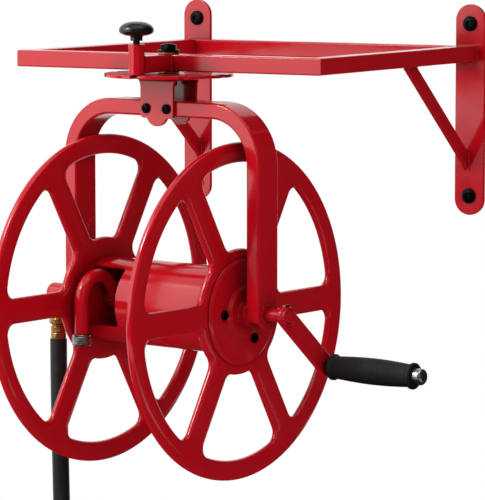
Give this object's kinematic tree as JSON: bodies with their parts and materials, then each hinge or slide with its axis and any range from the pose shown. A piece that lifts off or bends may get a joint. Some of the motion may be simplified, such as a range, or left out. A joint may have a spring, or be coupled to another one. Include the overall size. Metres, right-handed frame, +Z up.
{
  "type": "wall-mounted hose reel",
  "caption": "Wall bracket with a swivelling yoke that holds a spoked hose reel, its crank handle, a spring plunger and a leader hose.",
  "frame": {"origin": "middle of the left strap's wall face, level with the top face of the bracket frame", "axes": "+Y out of the object into the wall, +Z up, +X along the wall toward the crank's side"},
  "size_m": [0.548, 0.6047, 0.8556],
  "materials": {
    "red_enamel": "glossy",
    "red_cast": "glossy enamel",
    "black_plastic": "satin",
    "black_fastener": "black oxide",
    "bright_steel": "satin",
    "bush_bronze": "satin",
    "coupling_brass": "satin",
    "hose_rubber": "satin",
    "tie_strap": "matte"
  },
  "bodies": {
    "bracket": {"left_wall_strap": "red_enamel", "right_wall_strap": "red_enamel", "wall_screw_1": "black_fastener", "wall_screw_2": "black_fastener", "wall_screw_3": "black_fastener", "wall_screw_4": "black_fastener", "front_frame_tube": "red_enamel", "rear_frame_tube": "red_enamel", "left_frame_tube": "red_enamel", "right_frame_tube": "red_enamel", "left_brace": "red_enamel", "right_brace": "red_enamel", "plunger_arm": "red_enamel", "plunger_barrel": "red_enamel", "plunger_bush": "bright_steel", "upper_pivot_bush": "bush_bronze", "lower_pivot_bush": "bush_bronze", "plunger_spring": "bright_steel"},
    "plunger": {"plunger_pin": "black_fastener", "plunger_knob": "black_plastic"},
    "yoke": {"index_disc": "red_enamel", "saddle": "red_enamel", "left_saddle_bolt": "black_fastener", "right_saddle_bolt": "black_fastener", "left_saddle_nut": "black_fastener", "right_saddle_nut": "black_fastener", "pivot_bolt": "black_fastener", "pivot_washer": "black_fastener", "pivot_nut": "black_fastener", "yoke": "red_enamel", "left_axle_bush": "bush_bronze", "right_axle_bush": "bush_bronze", "inlet_elbow": "red_enamel", "brass_coupling": "coupling_brass", "leader_hose": "hose_rubber", "hose_coil": "hose_rubber", "coil_tie": "tie_strap", "far_coupling": "coupling_brass"},
    "reel": {"left_flange": "red_cast", "right_flange": "red_cast", "drum": "red_enamel", "left_hub_bolt_1": "black_fastener", "left_hub_bolt_2": "black_fastener", "left_hub_bolt_3": "black_fastener", "right_hub_bolt_1": "black_fastener", "right_hub_bolt_2": "black_fastener", "right_hub_bolt_3": "black_fastener", "axle_pipe": "red_enamel", "crank_shaft": "red_enamel", "gooseneck": "red_enamel", "outlet_nipple": "bright_steel", "crank_arm": "red_enamel", "set_screw": "black_fastener", "grip_spindle": "bright_steel", "grip_spacer": "black_fastener"},
    "grip": {"grip": "black_plastic"}
  },
  "joints": [
    {"name": "swivel", "type": "hinge", "parent": "bracket", "child": "yoke", "pos_m": [0.2032, -0.393, 0], "axis": [0, 0, 1], "range_deg": [-83, 97]},
    {"name": "reel_spin", "type": "hinge", "parent": "yoke", "child": "reel", "pos_m": [0.2032, -0.393, -0.3], "axis": [0.9925, -0.1219, 0], "continuous": true},
    {"name": "grip_spin", "type": "hinge", "parent": "reel", "child": "grip", "pos_m": [0.38317, -0.33454, -0.36805], "axis": [0.9925, -0.1219, 0], "continuous": true},
    {"name": "plunger_slide", "type": "slide", "parent": "bracket", "child": "plunger", "axis": [0, 0, 1], "range_m": [0, 0.01], "stiffness_N_per_m": 300, "springref_m": -0.01, "deforming": ["plunger_spring"]}
  ]
}
